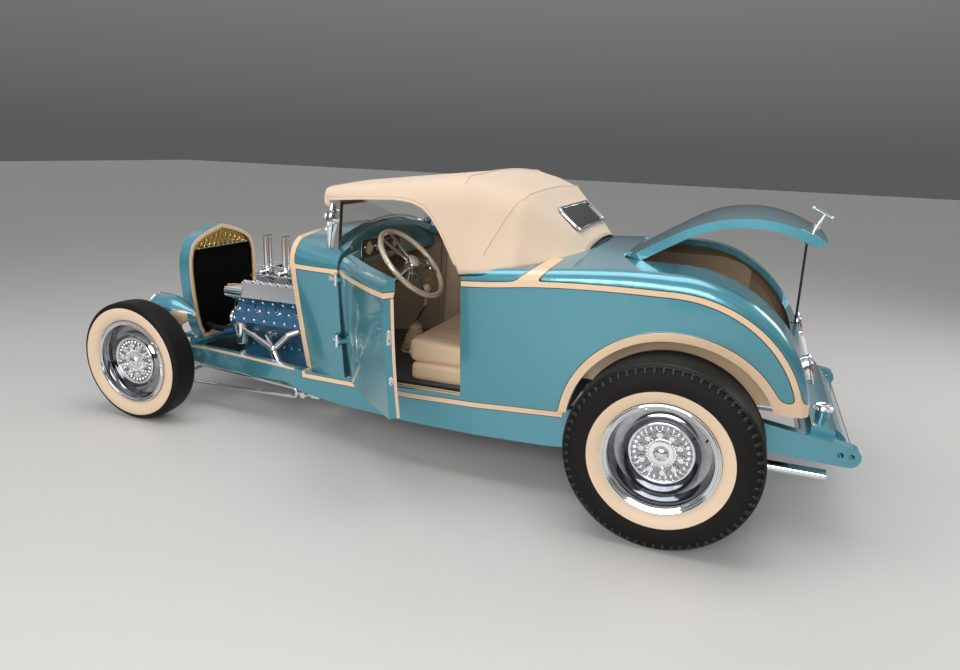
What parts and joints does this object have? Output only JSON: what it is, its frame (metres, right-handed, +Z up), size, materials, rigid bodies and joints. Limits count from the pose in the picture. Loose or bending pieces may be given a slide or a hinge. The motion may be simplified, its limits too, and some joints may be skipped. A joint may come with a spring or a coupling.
{
  "type": "street rod roadster",
  "caption": "Open two-seat street rod with no fenders, an exposed vee engine, a padded folding top, steered front wheels, hinged doors and a hinged deck lid.",
  "frame": {"origin": "on the floor, under the middle of the standing car's box with its left door open; the car's centreline is the line y = -0.080 m and the middle of its wheelbase is at x = 0.194 m", "axes": "+X forward, +Y to the car's left, +Z up"},
  "size_m": [3.706, 1.9015, 1.352],
  "materials": {
    "paint_blue": "metallic, clear coated",
    "chrome": "mirror polished",
    "tyre": "black with cream side bands",
    "canvas": "padded cloth",
    "hide": "soft grain",
    "carpet": "cut pile",
    "glass": "clear",
    "black_metal": "satin"
  },
  "bodies": {
    "root": {"cowl": "paint_blue", "sills": "paint_blue", "quarter_left": "paint_blue", "quarter_right": "paint_blue", "deck_panel": "paint_blue", "tail_panel": "paint_blue", "floor": "carpet", "bulkhead": "carpet", "trunk_floor": "carpet", "dashboard": "paint_blue", "frame_rail_left": "paint_blue", "frame_rail_right": "paint_blue", "crossmembers": "paint_blue", "front_axle": "chrome", "front_spring": "chrome", "radius_rods": "chrome", "rear_axle": "paint_blue", "torque_tube": "paint_blue", "rear_spring": "chrome", "engine_block": "paint_blue", "cylinder_heads": "paint_blue", "intake": "chrome", "exhaust_headers": "chrome", "exhaust_pipes": "chrome", "engine_front": "chrome", "gearbox": "paint_blue", "grille_shell": "paint_blue", "grille_bars": "chrome", "radiator": "black_metal", "headlamps": "paint_blue", "windshield_frame": "chrome", "windshield_glass": "glass", "soft_top": "canvas", "rear_window": "glass", "seat_base": "hide", "seat_cushion": "hide", "seat_back": "hide", "steering_column": "chrome", "gear_lever": "hide", "fuel_tank": "paint_blue", "spreader_bars": "chrome", "tail_lamps": "chrome", "striker": "chrome"},
    "door_left": {"door_left": "paint_blue"},
    "door_right": {"door_right": "paint_blue"},
    "deck_lid": {"deck_lid": "paint_blue", "lid_handle": "chrome"},
    "prop_rod": {"prop_rod": "black_metal"},
    "knuckle_left": {"knuckle_left": "chrome"},
    "knuckle_right": {"knuckle_right": "chrome"},
    "tie_rod": {"tie_rod": "chrome"},
    "steering_wheel": {"steering_wheel": "hide"},
    "front_left": {"wheel_front_left": "chrome", "tyre_front_left": "tyre"},
    "front_right": {"wheel_front_right": "chrome", "tyre_front_right": "tyre"},
    "rear_left": {"wheel_rear_left": "chrome", "tyre_rear_left": "tyre"},
    "rear_right": {"wheel_rear_right": "chrome", "tyre_rear_right": "tyre"}
  },
  "joints": [
    {"name": "steer_left", "type": "hinge", "parent": "root", "child": "knuckle_left", "pos_m": [1.54, 0.51, 0.314], "axis": [0, 0, 1], "range_deg": [-30, 30]},
    {"name": "steer_right", "type": "hinge", "parent": "root", "child": "knuckle_right", "pos_m": [1.54, -0.67, 0.314], "axis": [0, 0, 1], "range_deg": [-30, 30]},
    {"name": "tie_rod_slide", "type": "slide", "parent": "root", "child": "tie_rod", "axis": [0, 1, 0], "range_m": [-0.07, 0.07]},
    {"name": "steering_turn", "type": "hinge", "parent": "root", "child": "steering_wheel", "pos_m": [0.114, 0.27, 0.91], "axis": [0.7302, 0, -0.6832], "range_deg": [-455, 455]},
    {"name": "door_left_hinge", "type": "hinge", "parent": "root", "child": "door_left", "pos_m": [0.364, 0.536, 0.7], "axis": [0, 0, 1], "range_deg": [-32, 38]},
    {"name": "door_right_hinge", "type": "hinge", "parent": "root", "child": "door_right", "pos_m": [0.364, -0.696, 0.7], "axis": [0, 0, 1], "range_deg": [0, 70]},
    {"name": "deck_lid_hinge", "type": "hinge", "parent": "root", "child": "deck_lid", "pos_m": [-0.889, -0.08, 1.041], "axis": [0, 1, 0], "range_deg": [-31, 0]},
    {"name": "prop_rod_pivot", "type": "hinge", "parent": "deck_lid", "child": "prop_rod", "pos_m": [-1.592, -0.08, 1.11], "axis": [0, 1, 0], "range_deg": [-86, 1]},
    {"name": "front_left_spin", "type": "hinge", "parent": "knuckle_left", "child": "front_left", "pos_m": [1.54, 0.585, 0.314], "axis": [0, 1, 0], "continuous": true},
    {"name": "front_right_spin", "type": "hinge", "parent": "knuckle_right", "child": "front_right", "pos_m": [1.54, -0.745, 0.314], "axis": [0, 1, 0], "continuous": true},
    {"name": "rear_left_spin", "type": "hinge", "parent": "root", "child": "rear_left", "pos_m": [-1.152, 0.665, 0.368], "axis": [0, 1, 0], "continuous": true},
    {"name": "rear_right_spin", "type": "hinge", "parent": "root", "child": "rear_right", "pos_m": [-1.152, -0.825, 0.368], "axis": [0, 1, 0], "continuous": true}
  ],
  "couplings": [
    {"joint": "steer_right", "follows": "steer_left", "ratio": 1},
    {"joint": "tie_rod_slide", "follows": "steer_left", "m_per_rad": -0.13},
    {"joint": "steering_turn", "follows": "steer_left", "ratio": -15},
    {"joint": "prop_rod_pivot", "follows": "deck_lid_hinge", "ratio": 2.7273}
  ]
}
